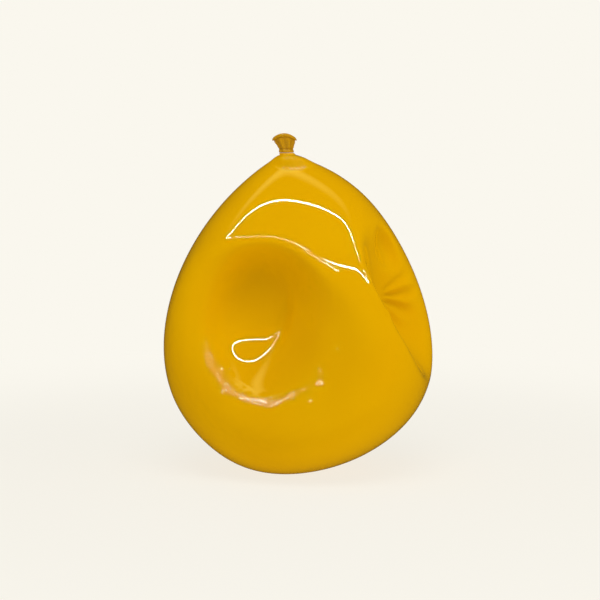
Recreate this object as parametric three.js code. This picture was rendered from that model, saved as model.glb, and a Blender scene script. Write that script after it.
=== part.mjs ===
// A glossy dented balloon, cast as an ornament: a heavy drop-shaped body pressed in at the front,
// the right and the back, with a tied nozzle on top.
// Millimetres, +Z up, +X to the viewer's right, +Y away from the viewer.
// The origin is the centre of the flat foot, on the surface that the balloon stands on.

import * as THREE from 'three';
import { mergeVertices } from 'three/addons/utils/BufferGeometryUtils.js';

// Body: a drop turned about a nearly upright axis.
const BELLY_RADIUS = 111.6;
const BELLY_HEIGHT = 103.3;
const CROWN_RISE = 159.2;
const UNDERSIDE_DEPTH = 105.2;
const CROWN_TAPER = 0.458;
const BODY_RINGS = 58;
const BODY_SEGMENTS = 60;

// The axis bends a little: the belly leans to +X, the neck and the foot come back.
const BELLY_LEAN = 11.5;
const NECK_SHIFT = { amount: -10.5, reach: 14 };
const FOOT_SHIFT = { amount: -11.5, reach: 22 };

// The short neck that the nozzle is tied to.
const NECK_RADIUS = 6.2;
const NECK_TOP = 262.3;
const NECK_FILLET = 1.6;
// Height under the neck's shoulder over which the pressed surfaces fade out.
const NECK_BLEND = 7;

// The nearly flat face under the crown. deepest is the point that it is pressed to, azimuth and
// elevation are where it faces (azimuth 0 is the viewer's side, 90 is +X), and turn spins it about
// that axis. bulge is its curvature along, and crossShare the part of it that it has across. roll is
// the width over which an edge rounds off.
const CROWN_FACE = {
  azimuth: 1.1, elevation: 29.5, deepest: [3.9, -43.2, 207], turn: -25.4, bulge: 0.0029,
  crossShare: 0.35, roll: 32.3, rollGrowth: [0, 0],
};

// Dents: bowls pressed in along their own axis, named in the order that they are pressed.
// halfWidth and halfHeight reach the level where the bowl is `depth` deep, skew makes opposite
// walls unequally steep, power shapes the walls (1 is a cone, 2 a dish) and blunt rounds the tip.
// rollGrowth is how the rim's rounding grows across and along.
const DENTS = {
  front: {
    azimuth: -16.6, elevation: 6.3, deepest: [-4.3, -39.2, 147.4], turn: -13, halfWidth: 122.5,
    halfHeight: 82.2, depth: 63.7, power: 1.573, blunt: 0.0058, skew: [-0.0011, 0.0033],
    roll: 32, rollGrowth: [-0.11, -0.95],
  },
  frontBowl: {
    azimuth: -0.5, elevation: 0.3, deepest: [-23.8, -23.1, 150.1], turn: -20.2, halfWidth: 47.2,
    halfHeight: 55, depth: 34.4, power: 2.164, blunt: 0, skew: [-0.0025, 0.0036],
    roll: 12.8, rollGrowth: [0.3, 0.21],
  },
  right: {
    azimuth: 65.5, elevation: 5, deepest: [76.5, -19.4, 134.3], turn: 19.9, halfWidth: 38.2,
    halfHeight: 80.7, depth: 31.8, power: 1.065, blunt: 0.0341, skew: [-0.0003, -0.0087],
    roll: 15.8, rollGrowth: [1.6, 0.42],
  },
  back: {
    azimuth: 176, elevation: 0, deepest: [8.9, 64, 125], turn: 10, halfWidth: 80,
    halfHeight: 75, depth: 26, power: 2, blunt: 0, skew: [0, 0],
    roll: 40, rollGrowth: [0, 0],
  },
  hollow: {
    azimuth: 48, elevation: -12, deepest: [76, -10, 192], turn: 20, halfWidth: 15,
    halfHeight: 24, depth: 14, power: 2, blunt: 0.01, skew: [0, 0],
    roll: 8, rollGrowth: [0, 0],
  },
};
const ROLL_GROWTH_LENGTH = 80;

// Nozzle: a gathered waist that flares to a rolled lip, squeezed flat front to back.
const JOINT_GAP = 0.3;
const NOZZLE_TOP = 278.2;
const WAIST_RADIUS = 5.6;
const LIP_RADIUS = 10;
const LIP_BEAD = 1.1;
const MOUTH_DEPTH = 7;
const NOZZLE_SQUEEZE = 0.72;
const LIP_DROOP = 0.052;
const NOZZLE_LEAN = 1.8;
const PLEATS = { count: 7, depth: 0.07 };
const NOZZLE_SEGMENTS = 42;

const rad = THREE.MathUtils.degToRad;
const smootherstep = THREE.MathUtils.smootherstep;

/** Sideways place of the body's axis at height z. */
function axisShift(z) {
  const neck = NECK_SHIFT.amount * Math.exp(-(BELLY_HEIGHT + CROWN_RISE - z) / NECK_SHIFT.reach);
  const foot = FOOT_SHIFT.amount * Math.exp(-z / FOOT_SHIFT.reach);
  return BELLY_LEAN + neck + foot;
}

/** Point of the undented drop's profile at angle u, from -90 degrees (foot) to 90 (crown). */
function dropPoint(u) {
  const blend = smootherstep(u, -1, 1);
  const rise = UNDERSIDE_DEPTH + (CROWN_RISE - UNDERSIDE_DEPTH) * blend;
  const radius = BELLY_RADIUS * Math.cos(u) ** (1 + CROWN_TAPER * blend);
  return new THREE.Vector2(radius, BELLY_HEIGHT + rise * Math.sin(u));
}

/** Angle u where the drop's underside meets the ground. */
function groundAngle() {
  return -Math.asin(BELLY_HEIGHT / UNDERSIDE_DEPTH);
}

/** Angle u where the crown has narrowed to the outer edge of the neck's fillet. */
function neckAngle() {
  const share = (NECK_RADIUS + NECK_FILLET) / BELLY_RADIUS;
  return Math.acos(share ** (1 / (1 + CROWN_TAPER)));
}

/** Closed profile of the body, from the middle of the foot to the middle of the neck's top. */
function bodyProfile() {
  const from = groundAngle();
  const to = neckAngle();
  const points = [new THREE.Vector2(0, 0), new THREE.Vector2(dropPoint(from).x / 2, 0)];
  for (let i = 0; i <= BODY_RINGS; i++) {
    const point = dropPoint(from + ((to - from) * i) / BODY_RINGS);
    points.push(new THREE.Vector2(point.x, Math.max(point.y, 0)));
  }
  const shoulder = dropPoint(to).y;
  const turn = 3;
  for (let i = 1; i <= turn; i++) {
    const angle = rad((90 * i) / turn);
    const radius = NECK_RADIUS + NECK_FILLET * (1 - Math.sin(angle));
    const height = shoulder + NECK_FILLET * (1 - Math.cos(angle));
    points.push(new THREE.Vector2(radius, height));
  }
  points.push(new THREE.Vector2(NECK_RADIUS, NECK_TOP), new THREE.Vector2(0, NECK_TOP));
  return points;
}

/** Unit vector for an azimuth and elevation in degrees. */
function aim(azimuth, elevation) {
  const level = Math.cos(rad(elevation));
  const x = Math.sin(rad(azimuth)) * level;
  const y = -Math.cos(rad(azimuth)) * level;
  return new THREE.Vector3(x, y, Math.sin(rad(elevation)));
}

/** Axes of a pressed surface: outward along the press, across it and along it. */
function pressAxes({ azimuth, elevation, turn }) {
  const out = aim(azimuth, elevation);
  const right = new THREE.Vector3(0, 0, 1).cross(out).normalize();
  const up = out.clone().cross(right);
  const across = right.clone().multiplyScalar(Math.cos(rad(turn))).addScaledVector(up, Math.sin(rad(turn)));
  const along = up.clone().multiplyScalar(Math.cos(rad(turn))).addScaledVector(right, -Math.sin(rad(turn)));
  return { out, across, along };
}

/** Smaller of a and b, with the corner where they cross rounded over the width `roll`. */
function softMin(a, b, roll) {
  const near = Math.max(1 - Math.abs(a - b) / roll, 0);
  return Math.min(a, b) - (roll / 6) * near ** 3;
}

/** Height of the crown's face over its plane, a across and b along. */
function faceHeight(face, a, b) {
  return (-face.bulge / 2) * (face.crossShare * a * a + b * b);
}

/** Height of a dent's bowl above its deepest point, a across and b along. */
function bowlHeight(dent, a, b) {
  const round = Math.sqrt((a / dent.halfWidth) ** 2 + (b / dent.halfHeight) ** 2 + dent.blunt);
  const reach = Math.max(round + a * dent.skew[0] + b * dent.skew[1], 0);
  return dent.depth * (reach ** dent.power - dent.blunt ** (dent.power / 2));
}

/** Presses a tool's surface, whose height over its own plane is `heightAt`, into a point. */
function press(point, tool, heightAt) {
  const { out, across, along } = pressAxes(tool);
  const offset = point.clone().sub(new THREE.Vector3(...tool.deepest));
  const height = offset.dot(out);
  const a = offset.dot(across);
  const b = offset.dot(along);
  const growth = (tool.rollGrowth[0] * a + tool.rollGrowth[1] * b) / ROLL_GROWTH_LENGTH;
  const roll = tool.roll * Math.exp(THREE.MathUtils.clamp(growth, -1.5, 1.5));
  point.addScaledVector(out, softMin(height, heightAt(tool, a, b), roll) - height);
}

/** Turns a profile about +Z and moves each vertex by `reshape`. */
function turned(profile, segments, reshape) {
  const lathe = new THREE.LatheGeometry(profile, segments).rotateX(Math.PI / 2);
  lathe.deleteAttribute('normal');
  lathe.deleteAttribute('uv');
  const geometry = mergeVertices(lathe, 1e-4);
  const position = geometry.getAttribute('position');
  const vertex = new THREE.Vector3();
  for (let i = 0; i < position.count; i++) {
    vertex.fromBufferAttribute(position, i);
    const moved = reshape(vertex);
    position.setXYZ(i, moved.x, moved.y, moved.z);
  }
  geometry.computeVertexNormals();
  return geometry;
}

/** The body: the drop with its axis bent and its dents pressed in. Foot and neck stay as turned. */
function bodyGeometry() {
  const shoulder = dropPoint(neckAngle()).y;
  return turned(bodyProfile(), BODY_SEGMENTS, (vertex) => {
    const point = vertex.clone();
    point.x += axisShift(vertex.z);
    const pressed = point.clone();
    press(pressed, CROWN_FACE, faceHeight);
    Object.values(DENTS).forEach((dent) => press(pressed, dent, bowlHeight));
    const onFoot = vertex.z < 1e-3;
    const share = onFoot ? 0 : 1 - smootherstep(vertex.z, shoulder - NECK_BLEND, shoulder);
    return point.lerp(pressed, share);
  });
}

/** Closed profile of the nozzle, from the middle of its foot, up and over the lip, into the mouth. */
function nozzleProfile() {
  const foot = NECK_TOP + JOINT_GAP;
  const lip = NOZZLE_TOP - LIP_BEAD;
  const points = [new THREE.Vector2(0, foot), new THREE.Vector2(WAIST_RADIUS, foot)];
  const steps = 9;
  for (let i = 1; i <= steps; i++) {
    const t = i / steps;
    const flare = smootherstep(t, 0, 1.35) / smootherstep(1, 0, 1.35);
    const radius = WAIST_RADIUS + (LIP_RADIUS - LIP_BEAD - WAIST_RADIUS) * flare;
    points.push(new THREE.Vector2(radius, foot + (lip - LIP_BEAD - foot) * t));
  }
  const turns = 5;
  for (let i = 0; i <= turns; i++) {
    const angle = rad(-50 + (230 * i) / turns);
    const radius = LIP_RADIUS - LIP_BEAD + LIP_BEAD * Math.cos(angle);
    points.push(new THREE.Vector2(radius, lip + LIP_BEAD * Math.sin(angle)));
  }
  const mouth = LIP_RADIUS - 2 * LIP_BEAD;
  points.push(new THREE.Vector2(mouth * 0.72, lip - MOUTH_DEPTH * 0.45));
  points.push(new THREE.Vector2(mouth * 0.4, lip - MOUTH_DEPTH * 0.85));
  points.push(new THREE.Vector2(0, lip - MOUTH_DEPTH));
  return points;
}

/** The nozzle: pleated at the waist, leaning to -X, squeezed flat, its lip's ends drooping. */
function nozzleGeometry() {
  const foot = NECK_TOP + JOINT_GAP;
  const height = NOZZLE_TOP - foot;
  return turned(nozzleProfile(), NOZZLE_SEGMENTS, (vertex) => {
    const rise = (vertex.z - foot) / height;
    const around = Math.atan2(vertex.y, vertex.x);
    const fade = smootherstep(rise, 0, 0.25) * (1 - smootherstep(rise, 0.5, 0.95));
    const pleat = 1 + PLEATS.depth * fade * Math.cos(PLEATS.count * around);
    const open = smootherstep(rise, 0.1, 1);
    const squeeze = 1 - (1 - NOZZLE_SQUEEZE) * open;
    const x = vertex.x * pleat;
    const y = vertex.y * pleat * squeeze;
    const z = vertex.z - LIP_DROOP * open * x * x;
    return new THREE.Vector3(x + axisShift(NECK_TOP) - NOZZLE_LEAN * rise, y, z);
  });
}

/** Thick glossy yellow lacquer. */
function bodyMaterial() {
  return new THREE.MeshStandardMaterial({ color: 0xeca900, roughness: 0.08, metalness: 0 });
}

/** Duller ochre of the nozzle. */
function nozzleMaterial() {
  return new THREE.MeshStandardMaterial({ color: 0xb98706, roughness: 0.35, metalness: 0 });
}

/** One named sub-part. */
function part(name, geometry, material) {
  const mesh = new THREE.Mesh(geometry, material);
  mesh.name = name;
  return mesh;
}

const balloon = new THREE.Group();
balloon.name = 'dented_balloon';
balloon.add(part('body', bodyGeometry(), bodyMaterial()));
balloon.add(part('nozzle', nozzleGeometry(), nozzleMaterial()));

export default balloon;
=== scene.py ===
"""A glossy dented balloon ornament: lacquered drop-shaped body, gathered neck and tied nozzle.

Lengths in the dataclasses are millimetres, as a maker would write them, and become metres when a
mesh is made. +X is the viewer's right, +Y is away from the viewer and +Z is up. The origin is the
centre of the flat foot.
"""

import logging
import math
from dataclasses import dataclass, field
from enum import Enum

import bpy
import numpy as np
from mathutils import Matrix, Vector


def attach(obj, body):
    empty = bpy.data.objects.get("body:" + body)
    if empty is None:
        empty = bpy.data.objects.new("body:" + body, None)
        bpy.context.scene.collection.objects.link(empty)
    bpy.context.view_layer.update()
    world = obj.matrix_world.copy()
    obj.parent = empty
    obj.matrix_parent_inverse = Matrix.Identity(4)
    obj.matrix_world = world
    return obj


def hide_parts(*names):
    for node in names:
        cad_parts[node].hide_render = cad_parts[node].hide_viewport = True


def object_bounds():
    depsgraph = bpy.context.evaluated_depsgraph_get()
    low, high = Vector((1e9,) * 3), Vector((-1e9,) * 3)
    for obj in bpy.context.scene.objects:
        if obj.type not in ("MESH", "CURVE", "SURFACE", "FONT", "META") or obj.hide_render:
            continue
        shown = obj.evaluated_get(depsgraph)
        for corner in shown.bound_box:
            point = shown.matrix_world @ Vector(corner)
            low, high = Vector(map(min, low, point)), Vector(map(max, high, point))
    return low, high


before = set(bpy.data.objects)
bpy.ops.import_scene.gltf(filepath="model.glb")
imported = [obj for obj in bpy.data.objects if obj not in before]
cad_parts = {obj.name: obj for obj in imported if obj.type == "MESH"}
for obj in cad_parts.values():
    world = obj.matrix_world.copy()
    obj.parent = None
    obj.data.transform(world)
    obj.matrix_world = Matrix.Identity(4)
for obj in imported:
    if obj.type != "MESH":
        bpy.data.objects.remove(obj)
CAD_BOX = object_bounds()

LOG = logging.getLogger("balloon")
MM = 0.001
FULL_TURN = 2.0 * math.pi
MIX_FROM, MIX_TO, MIX_RESULT = 6, 7, 2  # colour sockets of a Mix node


def smootherstep(values: np.ndarray, low: float, high: float) -> np.ndarray:
    """Ease from 0 at low to 1 at high by 6t^5 - 15t^4 + 10t^3, t being the share of the way.

    Args:
        values: numbers to ease.
        low: where the result starts to rise.
        high: where it reaches 1.

    Returns:
        The eased values, 0 to 1.
    """
    t = np.clip((values - low) / (high - low), 0.0, 1.0)
    return t * t * t * (10.0 + t * (6.0 * t - 15.0))


def soft_min(a: np.ndarray, b: np.ndarray, roll: np.ndarray | float) -> np.ndarray:
    """Smaller of a and b, minus a sixth of roll times the cube of (1 - |a - b| / roll).

    Args:
        a: first heights.
        b: second heights.
        roll: width over which the corner between them is rounded.

    Returns:
        The rounded minimum; it equals the plain one wherever a and b differ by more than roll.
    """
    near = np.maximum(1.0 - np.abs(a - b) / roll, 0.0)
    return np.minimum(a, b) - roll / 6.0 * near**3


def aim(azimuth: float, elevation: float) -> np.ndarray:
    """Unit vector for an azimuth (0 is the viewer's side, 90 is +X) and elevation, in degrees."""
    turn, lift = math.radians(azimuth), math.radians(elevation)
    return np.array([math.sin(turn) * math.cos(lift), -math.cos(turn) * math.cos(lift), math.sin(lift)])


def srgb(code: str) -> tuple[float, float, float, float]:
    """Linear RGBA for an sRGB hex colour such as "f2b200"."""
    channels = [int(code[i : i + 2], 16) / 255.0 for i in (0, 2, 4)]
    linear = [c / 12.92 if c <= 0.04045 else ((c + 0.055) / 1.055) ** 2.4 for c in channels]
    return (*linear, 1.0)


def mesh_from_rings(name: str, rings: np.ndarray) -> bpy.types.Object:
    """Closed skin over a stack of rings, whose first and last rings have shrunk to one point.

    The quads join ring i to ring i + 1 and column j to column j + 1, wrapping round. The two end
    rings become one vertex each with a fan of triangles.

    Args:
        name: the object's name.
        rings: positions in millimetres, shape (rows, columns, 3), running from bottom to top.

    Returns:
        A smooth-shaded mesh object at the origin, faces outward.
    """
    rows, columns = rings.shape[:2]
    inner = rings[1:-1].reshape(-1, 3)
    points = np.vstack([rings[:1, 0], inner, rings[-1:, 0]]) * MM
    row = np.arange(rows - 3)[:, None] * columns
    here = np.arange(columns)[None, :]
    after = (here + 1) % columns
    quads = 1 + np.stack([row + here, row + after, row + columns + after, row + columns + here], -1)
    first = 1 + np.stack([np.full(columns, -1), after[0], here[0]], -1)
    top_row = (rows - 3) * columns
    last = 1 + np.stack([np.full(columns, len(inner)), top_row + here[0], top_row + after[0]], -1)
    faces = quads.reshape(-1, 4).tolist() + first.tolist() + last.tolist()
    mesh = bpy.data.meshes.new(name)
    mesh.from_pydata(points.tolist(), [], faces)
    mesh.shade_smooth()
    mesh.validate()
    piece = bpy.data.objects.new(name, mesh)
    bpy.context.scene.collection.objects.link(piece)
    return piece


def node(
    tree: bpy.types.NodeTree,
    kind: str,
    links: dict[str, bpy.types.NodeSocket] | None = None,
    **settings: object,
) -> bpy.types.Node:
    """Add a node, set its properties or sockets by name, and link sockets into it.

    Args:
        tree: node tree to add to.
        kind: node type, such as "ShaderNodeTexNoise".
        links: name or index of an input socket, to the output socket that feeds it.
        settings: a property of the node, or an input with underscores for spaces, and its value.

    Returns:
        The new node.
    """
    made = tree.nodes.new(kind)
    for name, value in settings.items():
        if hasattr(made, name):
            setattr(made, name, value)
        else:
            made.inputs[name.replace("_", " ")].default_value = value
    for name, source in (links or {}).items():
        tree.links.new(source, made.inputs[int(name) if name.isdigit() else name])
    return made


def noise(
    tree: bpy.types.NodeTree, place: bpy.types.NodeSocket, spacing: float, detail: float
) -> bpy.types.NodeSocket:
    """Add a noise whose lumps are `spacing` millimetres apart, and return its factor."""
    scale = 1.0 / (spacing * MM)
    return node(tree, "ShaderNodeTexNoise", {"Vector": place}, Scale=scale, Detail=detail).outputs[0]


class Slot(Enum):
    """Material slots of the record."""

    BODY = "body"
    NOZZLE = "nozzle"


@dataclass(frozen=True)
class Drop:
    """The undented body: a drop turned about an axis that bends a little sideways."""

    belly_radius: float = 111.6
    belly_height: float = 103.3
    crown_rise: float = 159.2
    underside_depth: float = 105.2
    taper_angle: float = 1.0
    crown_taper: float = 0.458
    belly_lean: float = 11.5
    neck_shift: float = -10.5
    neck_reach: float = 14.0
    foot_shift: float = -11.5
    foot_reach: float = 22.0

    def axis_shift(self, z: np.ndarray) -> np.ndarray:
        """Sideways place of the axis at height z: a lean plus two pulls that fade exponentially."""
        from_crown = self.belly_height + self.crown_rise - z
        neck = self.neck_shift * np.exp(-from_crown / self.neck_reach)
        foot = self.foot_shift * np.exp(-z / self.foot_reach)
        return self.belly_lean + neck + foot

    def profile(self, angle: np.ndarray) -> tuple[np.ndarray, np.ndarray]:
        """Radius and height at a profile angle from -pi/2 (foot) to pi/2 (crown).

        The radius is the belly's times cos(angle) to the power 1 + taper, and the height is the
        belly's plus a rise times sin(angle). Taper and rise ease from the underside's to the
        crown's.

        Args:
            angle: profile angles in radians.

        Returns:
            Radii and heights.
        """
        blend = smootherstep(angle, -self.taper_angle, self.taper_angle)
        rise = self.underside_depth + (self.crown_rise - self.underside_depth) * blend
        radius = self.belly_radius * np.cos(angle) ** (1.0 + self.crown_taper * blend)
        return radius, self.belly_height + rise * np.sin(angle)

    def ground_angle(self) -> float:
        """Profile angle where the underside meets the ground."""
        return -math.asin(self.belly_height / self.underside_depth)

    def angle_at_radius(self, radius: float) -> float:
        """Profile angle where the crown has narrowed to a radius."""
        return math.acos((radius / self.belly_radius) ** (1.0 / (1.0 + self.crown_taper)))


@dataclass(frozen=True)
class Press:
    """An almost flat face pressed into the body along its own axis.

    It faces an azimuth and elevation in degrees, is spun by turn, and goes through a point.
    """

    azimuth: float
    elevation: float
    through: tuple[float, float, float]
    roll: float
    turn: float = 0.0
    bulge: float = 0.0
    cross_share: float = 0.35

    def axes(self) -> tuple[np.ndarray, np.ndarray, np.ndarray]:
        """Unit vectors outward along the press, across it and along it."""
        out = aim(self.azimuth, self.elevation)
        right = np.cross([0.0, 0.0, 1.0], out)
        right /= np.linalg.norm(right)
        up = np.cross(out, right)
        c, s = math.cos(math.radians(self.turn)), math.sin(math.radians(self.turn))
        return out, c * right + s * up, c * up - s * right

    def level(self, a: np.ndarray, b: np.ndarray) -> np.ndarray:
        """Height of the face: minus half the bulge times (b^2 plus the cross share of a^2)."""
        return -self.bulge / 2.0 * (self.cross_share * a * a + b * b)

    def rounding(self, a: np.ndarray, b: np.ndarray) -> np.ndarray | float:
        """Width over which the edge rounds off."""
        return self.roll

    def apply(self, points: np.ndarray) -> np.ndarray:
        """Slide points along the press axis to the soft minimum of their height and the surface's.

        Args:
            points: positions, last axis x, y, z.

        Returns:
            The pressed positions.
        """
        out, across, along = self.axes()
        offset = points - np.array(self.through)
        height, a, b = offset @ out, offset @ across, offset @ along
        pressed = soft_min(height, self.level(a, b), self.rounding(a, b))
        return points + (pressed - height)[..., None] * out


@dataclass(frozen=True)
class Dent(Press):
    """A bowl pressed into the body; through is its deepest point."""

    half_width: float = 80.0
    half_height: float = 80.0
    depth: float = 30.0
    power: float = 2.0
    blunt: float = 0.0
    skew: tuple[float, float] = (0.0, 0.0)
    roll_growth: tuple[float, float] = (0.0, 0.0)
    growth_length: float = 80.0
    growth_limit: float = 1.5

    def level(self, a: np.ndarray, b: np.ndarray) -> np.ndarray:
        """Depth times reach to a power; reach is an elliptical radius, blunted and skewed."""
        around = np.sqrt((a / self.half_width) ** 2 + (b / self.half_height) ** 2 + self.blunt)
        reach = np.maximum(around + a * self.skew[0] + b * self.skew[1], 0.0)
        return self.depth * (reach**self.power - self.blunt ** (self.power / 2.0))

    def rounding(self, a: np.ndarray, b: np.ndarray) -> np.ndarray:
        """Rounding that grows or shrinks exponentially across and along the dent."""
        growth = (self.roll_growth[0] * a + self.roll_growth[1] * b) / self.growth_length
        return self.roll * np.exp(np.clip(growth, -self.growth_limit, self.growth_limit))


@dataclass(frozen=True)
class Fan:
    """Folds that spread from a hub, as skin does where a slack balloon is pinched.

    The hub is x and z. The folds are raised along azimuth, and spread about a middle direction
    that leans from +X towards +Z.
    """

    hub: tuple[float, float]
    azimuth: float
    height: float
    folds: float
    phase: float
    near: tuple[float, float]
    far: tuple[float, float]
    lean: float
    half_angle: float
    back: float
    back_fade: float = 12.0

    def apply(self, points: np.ndarray) -> np.ndarray:
        """Raise and lower points by height times the cosine of folds times the angle at the hub.

        Angle and distance are taken square to Y. The waves rise between the near distances, fade
        between the far ones and away from the leaning middle direction, and stop behind `back`.

        Args:
            points: positions, last axis x, y, z.

        Returns:
            The folded positions.
        """
        across, up = points[..., 0] - self.hub[0], points[..., 2] - self.hub[1]
        reach = np.hypot(across, up)
        angle = np.arctan2(up, across) - math.radians(self.lean)
        wide = math.radians(self.half_angle)
        inside = smootherstep(reach, *self.near) * (1.0 - smootherstep(reach, *self.far))
        inside = inside * (1.0 - smootherstep(np.abs(angle), wide * 0.5, wide))
        inside = inside * (1.0 - smootherstep(points[..., 1], self.back - self.back_fade, self.back))
        wave = self.height * inside * np.cos(self.folds * angle + math.radians(self.phase))
        return points + wave[..., None] * aim(self.azimuth, 0.0)


@dataclass(frozen=True)
class Lacquer:
    """Sprayed and polished two-part polyurethane lacquer over a smooth resin casting.

    The colour coat is an opaque chrome yellow without a shine of its own. The clear coat on top
    gives mirror-sharp reflections, which wobble slightly with the orange peel that spraying leaves
    and break up over the creases of the front dent's wall.
    """

    name: str = "sprayed_yellow_lacquer"
    light: str = "f1b700"
    deep: str = "e6a800"
    peel_spacing: float = 3.2
    peel_height: float = 0.004
    cloud_spacing: float = 60.0
    crease_centre: tuple[float, float, float] = (-12.6, 0.0, 109.0)
    crease_inner: tuple[float, float] = (34.0, 42.0)
    crease_outer: tuple[float, float] = (66.0, 82.0)
    crease_front: tuple[float, float] = (-15.0, -5.0)
    crease_spacing: float = 6.0
    crease_height: float = 1.5
    roughness: float = 0.32
    coat_roughness: float = 0.015
    coat_index: float = 1.5

    def creases(self, tree: bpy.types.NodeTree, place: bpy.types.NodeSocket) -> bpy.types.NodeSocket:
        """Fine creasing of the film on the front dent's wall.

        The height is a noise times a ring about the dent's middle, measured square to Y, times a
        mask that is 1 on the front half.

        Args:
            tree: node tree to add to.
            place: object coordinates.

        Returns:
            The height, 0 to 1.
        """
        centre = tuple(value * MM for value in self.crease_centre)
        offset = node(tree, "ShaderNodeVectorMath", {"0": place}, operation="SUBTRACT")
        offset.inputs[1].default_value = centre
        flat = node(tree, "ShaderNodeVectorMath", {"0": offset.outputs[0]}, operation="MULTIPLY")
        flat.inputs[1].default_value = (1.0, 0.0, 1.0)
        reach = node(tree, "ShaderNodeVectorMath", {"0": flat.outputs[0]}, operation="LENGTH")
        split = node(tree, "ShaderNodeSeparateXYZ", {"Vector": place})
        away, depth = reach.outputs["Value"], split.outputs["Y"]
        masks = [
            node(
                tree, "ShaderNodeMapRange", {"Value": measure},
                From_Min=span[0] * MM, From_Max=span[1] * MM, To_Min=start, To_Max=1.0 - start,
            )
            for measure, span, start in (
                (away, self.crease_inner, 0.0),
                (away, self.crease_outer, 1.0),
                (depth, self.crease_front, 1.0),
            )
        ]
        height = noise(tree, place, self.crease_spacing, 0.0)
        for mask in masks:
            height = node(
                tree, "ShaderNodeMath", {"0": height, "1": mask.outputs[0]}, operation="MULTIPLY"
            ).outputs[0]
        return height

    def build(self) -> bpy.types.Material:
        """Make the material: clouded yellow under a clear coat with orange peel and creases."""
        material = bpy.data.materials.new(self.name)
        material.use_nodes = True
        tree = material.node_tree
        shader = tree.nodes["Principled BSDF"]
        place = node(tree, "ShaderNodeTexCoord").outputs["Object"]
        cloud = noise(tree, place, self.cloud_spacing, 3.0)
        colour = node(tree, "ShaderNodeMix", {"0": cloud}, data_type="RGBA")
        colour.inputs[MIX_FROM].default_value = srgb(self.deep)
        colour.inputs[MIX_TO].default_value = srgb(self.light)
        peel = noise(tree, place, self.peel_spacing, 1.0)
        bump = node(
            tree, "ShaderNodeBump", {"Height": peel}, Strength=1.0, Distance=self.peel_height * MM
        )
        tree.links.new(colour.outputs[MIX_RESULT], shader.inputs["Base Color"])
        creased = node(
            tree, "ShaderNodeBump", {"Height": self.creases(tree, place), "Normal": bump.outputs[0]},
            Strength=1.0, Distance=self.crease_height * MM,
        )
        tree.links.new(creased.outputs[0], shader.inputs["Coat Normal"])
        tree.links.new(bump.outputs[0], shader.inputs["Normal"])
        shader.inputs["Roughness"].default_value = self.roughness
        shader.inputs["Specular IOR Level"].default_value = 0.0
        shader.inputs["Coat Weight"].default_value = 1.0
        shader.inputs["Coat Roughness"].default_value = self.coat_roughness
        shader.inputs["Coat IOR"].default_value = self.coat_index
        return material


@dataclass(frozen=True)
class PaintedShadeOchreRubber:
    """Satin ochre of the tied nozzle over its pleats, with painted shade darkening the colour in their
    hollows.

    The fine grain keeps it dull beside the body, with only a soft shine on the folds.
    """

    name: str = "satin_ochre_nozzle"
    light: str = "e4aa0a"
    # Dark ochre used as painted shade in the pleats' hollows.
    painted_shade_colour: str = "a06c00"
    grain_spacing: float = 0.9
    grain_height: float = 0.06
    painted_shade_range: tuple[float, float] = (0.44, 0.54)
    colour_lift: float = 1.6
    roughness: float = 0.38
    specular: float = 0.1
    coat: float = 0.5
    coat_roughness: float = 0.10

    def build(self) -> bpy.types.Material:
        """Make the material: ochre mottled by a fine grain and darkened in the hollows as painted shade,
        satin, with a thin coat.
        """
        material = bpy.data.materials.new(self.name)
        material.use_nodes = True
        tree = material.node_tree
        shader = tree.nodes["Principled BSDF"]
        place = node(tree, "ShaderNodeTexCoord").outputs["Object"]
        grain = noise(tree, place, self.grain_spacing, 4.0)
        # Painted shade: where pointiness is low, in the pleats' hollows, the colour goes towards the dark
        # ochre.
        hollows = node(tree, "ShaderNodeNewGeometry").outputs["Pointiness"]
        low, high = self.painted_shade_range
        depth = node(tree, "ShaderNodeMapRange", {"Value": hollows}, From_Min=low, From_Max=high)
        blend = node(
            tree, "ShaderNodeMath", {"0": depth.outputs[0], "1": grain}, operation="MULTIPLY"
        )
        blend.use_clamp = True
        lift = node(tree, "ShaderNodeMath", {"0": blend.outputs[0]}, operation="MULTIPLY")
        lift.inputs[1].default_value = self.colour_lift
        colour = node(tree, "ShaderNodeMix", {"0": lift.outputs[0]}, data_type="RGBA")
        colour.inputs[MIX_FROM].default_value = srgb(self.painted_shade_colour)
        colour.inputs[MIX_TO].default_value = srgb(self.light)
        bump = node(
            tree, "ShaderNodeBump", {"Height": grain}, Strength=0.5, Distance=self.grain_height * MM
        )
        tree.links.new(colour.outputs[MIX_RESULT], shader.inputs["Base Color"])
        tree.links.new(bump.outputs[0], shader.inputs["Normal"])
        shader.inputs["Roughness"].default_value = self.roughness
        shader.inputs["Specular IOR Level"].default_value = self.specular
        shader.inputs["Coat Weight"].default_value = self.coat
        shader.inputs["Coat Roughness"].default_value = self.coat_roughness
        return material


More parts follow.
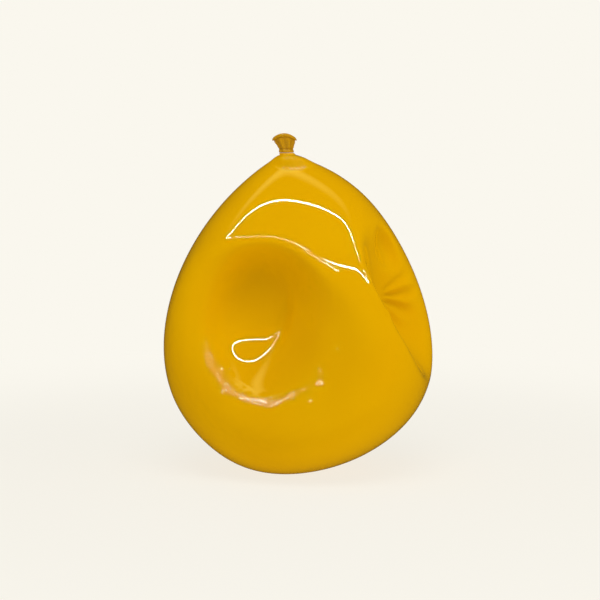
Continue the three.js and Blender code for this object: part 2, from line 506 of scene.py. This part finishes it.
@dataclass
class Body:
    """The drop with its crown face, dents and folds, and the short gathered neck.

    The dents are, in order: front, the bowl inside it, right, back, the hollow at the right dent's
    upper end, and the pinch at the deepest part of the front.
    """

    drop: Drop = field(default_factory=Drop)
    neck_radius: float = 6.2
    neck_fillet: float = 1.6
    neck_top: float = 262.3
    neck_blend: float = 7.0
    neck_pleats: int = 9
    neck_pleat: float = 0.02
    neck_pleat_start: float = 0.6
    neck_rim: float = 0.6
    foot_rings: int = 11
    side_rings: int = 260
    fillet_rings: int = 11
    neck_rings: int = 8
    cap_rings: int = 10
    columns: int = 316
    crown_face: Press = Press(
        azimuth=1.1, elevation=29.5, through=(3.9, -43.2, 207), roll=32.3, turn=-25.4,
        bulge=0.0029,
    )
    dents: tuple[Dent, ...] = (
        Dent(
            azimuth=-16.6, elevation=6.3, through=(-4.3, -39.2, 147.4), roll=32, turn=-13,
            half_width=122.5, half_height=82.2, depth=63.7, power=1.573, blunt=0.0058,
            skew=(-0.0011, 0.0033), roll_growth=(-0.11, -0.95),
        ),
        Dent(
            azimuth=-0.5, elevation=0.3, through=(-23.8, -23.1, 150.1), roll=12.8, turn=-20.2,
            half_width=47.2, half_height=55, depth=34.4, power=2.164,
            skew=(-0.0025, 0.0036), roll_growth=(0.3, 0.21),
        ),
        Dent(
            azimuth=65.5, elevation=5, through=(76.5, -19.4, 134.3), roll=15.8, turn=19.9,
            half_width=38.2, half_height=80.7, depth=31.8, power=1.065, blunt=0.0341,
            skew=(-0.0003, -0.0087), roll_growth=(1.6, 0.42),
        ),
        Dent(
            azimuth=176, elevation=0, through=(8.9, 64, 125), roll=40, turn=10,
            half_width=80, half_height=75, depth=26, power=2,
        ),
        Dent(
            azimuth=48, elevation=-12, through=(76.0, -10.0, 192.0), roll=8, turn=20,
            half_width=15, half_height=24, depth=14, power=2, blunt=0.01,
        ),
        Dent(
            azimuth=-20, elevation=8, through=(-1.0, -28.0, 131.0), roll=5, turn=-8,
            half_width=9, half_height=20, depth=6, power=2, blunt=0.01,
        ),
    )
    fans: tuple[Fan, ...] = (
        Fan(
            hub=(72.0, 146.0), azimuth=48.0, height=1.7, folds=12.0, phase=40.0, near=(4.0, 14.0),
            far=(26.0, 42.0), lean=-8.0, half_angle=62.0, back=16.0,
        ),
    )

    def outline(self) -> tuple[np.ndarray, np.ndarray, int, int]:
        """Profile radii and heights, and the first and last rows of the part that is pressed."""
        share = np.linspace(0.0, 1.0, self.side_rings)
        low = self.drop.ground_angle()
        high = self.drop.angle_at_radius(self.neck_radius + self.neck_fillet)
        radius, height = self.drop.profile(low + (high - low) * share)
        height[0] = 0.0
        foot = np.linspace(0.0, 1.0, self.foot_rings + 1)[:-1]
        turn = np.linspace(0.0, math.pi / 2.0, self.fillet_rings + 1)[1:]
        fillet_radius = self.neck_radius + self.neck_fillet * (1.0 - np.sin(turn))
        fillet_height = height[-1] + self.neck_fillet * (1.0 - np.cos(turn))
        climb = np.linspace(0.0, 1.0, self.neck_rings + 1)[1:]
        neck_height = fillet_height[-1] + (self.neck_top - fillet_height[-1]) * climb
        cap = np.linspace(1.0, 0.0, self.cap_rings + 1)[1:]
        radii = [
            foot * radius[0],
            radius,
            fillet_radius,
            np.full(self.neck_rings, self.neck_radius),
            cap * self.neck_radius,
        ]
        heights = [foot * 0.0, height, fillet_height, neck_height, np.full(self.cap_rings, self.neck_top)]
        first, last = len(foot) + 1, len(foot) + len(radius)
        return np.concatenate(radii), np.concatenate(heights), first, last

    def surface(self) -> np.ndarray:
        """Rings of the whole body.

        The profile is turned about the vertical, moved sideways by the drop's axis, and each
        pressed surface is applied in turn to the rows between the foot and the neck, fading out
        just under the neck. The neck's radius then swells and shrinks with the cosine of so many
        times the angle, which gathers it into pleats.

        Returns:
            Positions, shape (rows, columns, 3), in millimetres.
        """
        radius, height, first, last = self.outline()
        around = np.linspace(0.0, FULL_TURN, self.columns, endpoint=False)
        x = radius[:, None] * np.cos(around) + self.drop.axis_shift(height)[:, None]
        y = radius[:, None] * np.sin(around)
        z = np.broadcast_to(height[:, None], x.shape)
        rings = np.stack([x, y, z], axis=-1).copy()
        shell = rings[first:last]
        pressed = shell
        for press in (self.crown_face, *self.dents, *self.fans):
            pressed = press.apply(pressed)
        shoulder = height[last]
        hold = 1.0 - smootherstep(shell[..., 2:], shoulder - self.neck_blend, shoulder)
        rings[first:last] = shell + hold * (pressed - shell)
        gather = smootherstep(height, shoulder - self.neck_blend, shoulder)
        gather = gather * (1.0 - smootherstep(height, self.neck_top - self.neck_rim, self.neck_top))
        wave = np.cos(self.neck_pleats * around + self.neck_pleat_start)
        pucker = 1.0 + self.neck_pleat * gather[:, None] * wave
        axis = self.drop.axis_shift(height)[:, None]
        rings[..., 0] = axis + (rings[..., 0] - axis) * pucker
        rings[..., 1] = rings[..., 1] * pucker
        return rings

    def build(self) -> bpy.types.Object:
        """Make the body, which stands for the CAD body."""
        piece = mesh_from_rings("balloon_body", self.surface())
        piece.data.materials.append(Lacquer().build())
        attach(piece, "root")
        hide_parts("body")
        LOG.info("%s: %d faces", piece.name, len(piece.data.polygons))
        return piece


@dataclass
class Nozzle:
    """The tied nozzle: a pleated waist that flares to a rolled, drooping lip."""

    foot: float = 262.6
    top: float = 278.2
    waist_radius: float = 5.6
    lip_radius: float = 10.0
    lip_bead: float = 1.45
    mouth_depth: float = 7.0
    squeeze: float = 0.72
    droop: float = 0.040
    lean: float = 1.8
    pleat_count: int = 7
    pleat_depth: float = 0.11
    pleat_start: float = math.pi / 2.0
    pleat_twist: float = 1.6
    pleat_level: float = 0.4
    cord_height: float = 1.0
    cord_swell: float = 0.55
    cord_width: float = 0.75
    nip_height: float = 3.0
    nip_share: float = 0.8
    flare_reach: float = 1.35
    bead_start: float = -50.0
    columns: int = 256

    def outline(self) -> np.ndarray:
        """Profile (radius, height) from the middle of the foot over the lip into the mouth."""
        lip = self.top - self.lip_bead
        inner = np.linspace(0.0, 1.0, 8)[:, None] * np.array([[self.waist_radius, 0.0]])
        base = np.array([[0.0, self.foot]]) + inner
        t = np.linspace(0.0, 1.0, 60)[1:]
        flare = smootherstep(t, 0.0, self.flare_reach)
        flare = flare / flare[-1]
        flank_radius = self.waist_radius + (self.lip_radius - self.lip_bead - self.waist_radius) * flare
        flank = np.stack([flank_radius, self.foot + (lip - self.lip_bead - self.foot) * t], -1)
        turn = np.radians(np.linspace(self.bead_start, 180.0, 24))
        bead_radius = self.lip_radius - self.lip_bead + self.lip_bead * np.cos(turn)
        bead = np.stack([bead_radius, lip + self.lip_bead * np.sin(turn)], -1)
        mouth = self.lip_radius - 2.0 * self.lip_bead
        dive = np.linspace(0.0, 1.0, 20)[1:] * math.pi / 2.0
        throat = np.stack([mouth * np.cos(dive), lip - self.mouth_depth * np.sin(dive)], -1)
        throat[-1, 0] = 0.0
        return np.concatenate([base, flank, bead, throat])

    def surface(self, axis_x: float) -> np.ndarray:
        """Rings of the nozzle: pleated, squeezed front to back, leaning, drooping with x squared.

        The pleats are a cosine of so many times the angle, which leans as it rises. A rolled cord
        at the foot and a nip above it are added to the radius as two bell curves.

        Args:
            axis_x: sideways place of the neck in millimetres.

        Returns:
            Positions, shape (rows, columns, 3), in millimetres.
        """
        profile = self.outline()
        around = np.linspace(0.0, FULL_TURN, self.columns, endpoint=False)
        radius, height = profile[:, :1], profile[:, 1:]
        rise = (height - self.foot) / (self.top - self.foot)
        fade = smootherstep(rise, 0.0, 0.25) * (1.0 - smootherstep(rise, 0.5, 0.95))
        phase = self.pleat_start + self.pleat_twist * (rise - self.pleat_level)
        cord = ((height - self.foot - self.cord_height) / self.cord_width) ** 2
        nip = ((height - self.foot - self.nip_height) / self.cord_width) ** 2
        outside = radius > self.waist_radius * 0.99
        radius = radius + self.cord_swell * (np.exp(-cord) - self.nip_share * np.exp(-nip)) * outside
        pleat = 1.0 + self.pleat_depth * fade * np.cos(self.pleat_count * around + phase)
        open_share = smootherstep(rise, 0.1, 1.0)
        x = radius * np.cos(around) * pleat
        y = radius * np.sin(around) * pleat * (1.0 - (1.0 - self.squeeze) * open_share)
        z = height - self.droop * open_share * x * x
        return np.stack([x + axis_x - self.lean * rise, y, z], axis=-1)

    def build(self, axis_x: float) -> bpy.types.Object:
        """Make the nozzle, which stands for the CAD nozzle.

        Args:
            axis_x: sideways place of the neck in millimetres.

        Returns:
            The nozzle's mesh object.
        """
        piece = mesh_from_rings("balloon_nozzle", self.surface(axis_x))
        piece.data.materials.append(PaintedShadeOchreRubber().build())
        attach(piece, "root")
        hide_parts("nozzle")
        LOG.info("%s: %d faces", piece.name, len(piece.data.polygons))
        return piece


@dataclass
class Studio:
    """Pale sweep, soft key and side fill, an oval hoop of tube lamps, a strip and the camera."""

    pale: str = "faf7ee"
    floor_radius: float = 6.0
    floor_columns: int = 96
    floor_glow: float = 0.82
    floor_fade: tuple[float, float] = (0.12, 0.8)
    felt_strength: float = 0.40
    mirrored_strength: float = 0.03
    key_place: tuple[float, float, float] = (0.0, -0.8, 1.5)
    key_size: tuple[float, float] = (1.1, 0.8)
    key_power: float = 10.5
    fill_place: tuple[float, float, float] = (1.1, -0.6, 0.35)
    fill_size: tuple[float, float] = (0.5, 0.5)
    fill_power: float = 2.4
    hoop_centre: tuple[float, float, float] = (0.0, -0.75, 1.25)
    hoop_half_width: float = 0.75
    hoop_half_depth: float = 0.28
    hoop_tubes: int = 24
    tube_width: float = 0.014
    tube_overlap: float = 1.02
    hoop_power: float = 13.0
    hoop_tint: tuple[float, float, float] = (0.75, 1.0, 0.85)
    canopy_height: float = 1.75
    canopy_half_length: float = 1.1
    canopy_half_width: float = 0.22
    canopy_shift: float = -0.1
    canopy_slope: float = 0.62
    canopy_rounding: float = 0.1
    canopy_glow: float = 3.0
    canopy_tint: tuple[float, float, float, float] = (1.0, 0.9, 0.2, 1.0)
    canopy_grid: tuple[int, int] = (61, 25)
    distance: float = 1.17
    elevation: float = 5.0
    sway: float = 0.0012
    rise: float = 0.0024
    focal_length: float = 85.0

    def floor(self) -> None:
        """A pale disc that glows more towards its edge, so that it runs into the background."""
        around = np.linspace(0.0, FULL_TURN, self.floor_columns, endpoint=False)
        rim = np.stack([np.cos(around), np.sin(around), around * 0.0], -1) * self.floor_radius
        mesh = bpy.data.meshes.new("studio_floor")
        mesh.from_pydata(rim.tolist(), [], [tuple(range(self.floor_columns))])
        material = bpy.data.materials.new("pale_paper_sweep")
        material.use_nodes = True
        tree = material.node_tree
        shader = tree.nodes["Principled BSDF"]
        shader.inputs["Roughness"].default_value = 1.0
        shader.inputs["Specular IOR Level"].default_value = 0.0
        shader.inputs["Base Color"].default_value = srgb(self.pale)
        place = node(tree, "ShaderNodeTexCoord").outputs["Object"]
        reach = node(tree, "ShaderNodeVectorMath", {"0": place}, operation="LENGTH")
        fade = node(
            tree, "ShaderNodeMapRange", {"Value": reach.outputs["Value"]},
            From_Min=self.floor_fade[0], From_Max=self.floor_fade[1], To_Min=self.floor_glow, To_Max=1.0,
        )
        fade.interpolation_type = "SMOOTHERSTEP"
        glow = node(tree, "ShaderNodeEmission", Color=srgb(self.pale), Strength=1.0)
        mixed = node(
            tree, "ShaderNodeMixShader",
            {"0": fade.outputs[0], "1": shader.outputs[0], "2": glow.outputs[0]},
        )
        tree.links.new(mixed.outputs[0], tree.nodes["Material Output"].inputs["Surface"])
        mesh.materials.append(material)
        floor = bpy.data.objects.new("studio_floor", mesh)
        floor.visible_glossy = False
        bpy.context.scene.collection.objects.link(floor)

    def world(self) -> None:
        """Pale to the eye, dim as a surrounding, so that the gloss stays deep in colour."""
        world = bpy.data.worlds.new("studio_air")
        world.use_nodes = True
        tree = world.node_tree
        seen = node(tree, "ShaderNodeBackground", Color=srgb(self.pale), Strength=1.0)
        felt = node(
            tree, "ShaderNodeBackground", Color=(1.0, 0.97, 0.90, 1.0), Strength=self.felt_strength
        )
        mirrored = node(
            tree, "ShaderNodeBackground", Color=(1.0, 0.85, 0.45, 1.0), Strength=self.mirrored_strength
        )
        path = node(tree, "ShaderNodeLightPath")
        around = node(
            tree, "ShaderNodeMixShader",
            {"0": path.outputs["Is Glossy Ray"], "1": felt.outputs[0], "2": mirrored.outputs[0]},
        )
        mixed = node(
            tree, "ShaderNodeMixShader",
            {"0": path.outputs["Is Camera Ray"], "1": around.outputs[0], "2": seen.outputs[0]},
        )
        tree.links.new(mixed.outputs[0], tree.nodes["World Output"].inputs["Surface"])
        bpy.context.scene.world = world

    def lamp(
        self,
        name: str,
        place: tuple[float, float, float],
        target: tuple[float, float, float],
        size: tuple[float, float],
        power: float,
        shows: bool,
        tint: tuple[float, float, float] = (1.0, 1.0, 1.0),
    ) -> bpy.types.Object:
        """Add a rectangular area lamp.

        Args:
            name: the lamp's name.
            place: where it hangs, in metres.
            target: the point that it faces.
            size: its width and height in metres.
            power: watts.
            shows: whether its shape shows in the gloss.
            tint: its colour.

        Returns:
            The lamp object.
        """
        light = bpy.data.lights.new(name, "AREA")
        light.shape = "RECTANGLE"
        light.size, light.size_y = size
        light.energy = power
        light.color = tint
        lamp = bpy.data.objects.new(name, light)
        lamp.location = place
        lamp.rotation_mode = "QUATERNION"
        lamp.rotation_quaternion = (Vector(target) - Vector(place)).to_track_quat("-Z", "Y")
        lamp.visible_glossy = shows
        lamp.visible_camera = False
        bpy.context.scene.collection.objects.link(lamp)
        return lamp

    def hoop(self) -> None:
        """An oval of short tube lamps, seen in the gloss as two long arcs.

        Each tube lies along a chord of the oval and faces the object as squarely as it can.
        """
        target = (0.0, 0.0, 0.15)
        for index in range(self.hoop_tubes):
            here = FULL_TURN * index / self.hoop_tubes
            after = FULL_TURN * (index + 1) / self.hoop_tubes
            ends = [
                Vector((self.hoop_half_width * math.cos(a), self.hoop_half_depth * math.sin(a), 0.0))
                for a in (here, after)
            ]
            middle = (ends[0] + ends[1]) / 2.0 + Vector(self.hoop_centre)
            run = ends[1] - ends[0]
            size = (run.length * self.tube_overlap, self.tube_width)
            power = self.hoop_power / self.hoop_tubes
            lamp = self.lamp(
                f"hoop_tube_{index + 1}", tuple(middle), target, size, power, True, self.hoop_tint
            )
            lamp.visible_diffuse = False
            down = Vector(target) - middle
            side = run.normalized()
            forward = (down - side * down.dot(side)).normalized()
            turn = lamp.rotation_quaternion.to_matrix()
            turn.col[0], turn.col[1], turn.col[2] = side, side.cross(forward), forward * -1.0
            lamp.rotation_quaternion = turn.to_quaternion()

    def canopy(self) -> None:
        """An arched strip of diffuser overhead, which shows in the gloss as a soft chevron.

        The strip's middle line is y = -slope * sqrt(x^2 + rounding^2). Its glow falls off across
        the strip and towards both ends as (1 - v^2)^2 and (1 - u^2)^2.
        """
        long, wide = self.canopy_grid
        u, v = np.meshgrid(np.linspace(-1.0, 1.0, long), np.linspace(-1.0, 1.0, wide), indexing="ij")
        x = u * self.canopy_half_length + self.canopy_shift
        crest = -self.canopy_slope * np.sqrt(x * x + self.canopy_rounding**2)
        y = crest + v * self.canopy_half_width
        points = np.stack([x, y, np.full_like(x, self.canopy_height)], -1).reshape(-1, 3)
        corner = (np.arange(long - 1)[:, None] * wide + np.arange(wide - 1)[None, :]).reshape(-1)
        faces = np.stack([corner, corner + 1, corner + wide + 1, corner + wide], -1)
        mesh = bpy.data.meshes.new("canopy_strip")
        mesh.from_pydata(points.tolist(), [], faces.tolist())
        glow = mesh.attributes.new("glow", "FLOAT", "POINT")
        glow.data.foreach_set("value", (((1.0 - u * u) * (1.0 - v * v)) ** 2).reshape(-1))
        material = bpy.data.materials.new("warm_diffuser_cloth")
        material.use_nodes = True
        tree = material.node_tree
        spread = node(tree, "ShaderNodeAttribute", attribute_name="glow")
        lift = node(tree, "ShaderNodeMath", {"0": spread.outputs["Fac"]}, operation="MULTIPLY")
        lift.inputs[1].default_value = self.canopy_glow
        shine = node(tree, "ShaderNodeEmission", {"Strength": lift.outputs[0]}, Color=self.canopy_tint)
        tree.links.new(shine.outputs[0], tree.nodes["Material Output"].inputs["Surface"])
        mesh.materials.append(material)
        strip = bpy.data.objects.new("canopy_strip", mesh)
        strip.visible_camera = False
        strip.visible_diffuse = False
        strip.visible_shadow = False
        bpy.context.scene.collection.objects.link(strip)

    def lights(self) -> None:
        """Soft key and side fill that don't show in the gloss, the hoop and the canopy strip."""
        self.lamp("key_box", self.key_place, (0.0, 0.0, 0.12), self.key_size, self.key_power, False)
        self.lamp("side_fill", self.fill_place, (0.09, 0.0, 0.14), self.fill_size, self.fill_power, False)
        self.hoop()
        self.canopy()

    def camera(self) -> None:
        """Aim a long lens at the middle of the object's box, from the front and a little above."""
        low, high = CAD_BOX
        middle = Vector([(a + b) / 2.0 for a, b in zip(low, high)])
        target = Vector((middle.x + self.sway, 0.0, middle.z + self.rise))
        lens = bpy.data.cameras.new("studio_camera")
        lens.lens = self.focal_length
        camera = bpy.data.objects.new("studio_camera", lens)
        back = Vector(aim(0.0, self.elevation).tolist())
        camera.location = target + back * self.distance
        camera.rotation_mode = "QUATERNION"
        camera.rotation_quaternion = (-back).to_track_quat("-Z", "Y")
        bpy.context.scene.collection.objects.link(camera)
        bpy.context.scene.camera = camera

    def build(self) -> None:
        """Set up the whole studio."""
        self.floor()
        self.world()
        self.lights()
        self.camera()
        bpy.context.scene.view_settings.view_transform = "Standard"
        LOG.info("studio: floor, world, lamps and camera")


def main() -> None:
    """Build the balloon from the foot up, then its studio."""
    logging.basicConfig(level=logging.INFO, format="%(message)s")
    body = Body()
    body.build()
    Nozzle().build(float(body.drop.axis_shift(np.array(body.neck_top))))
    Studio().build()


if __name__ == "__main__":
    main()
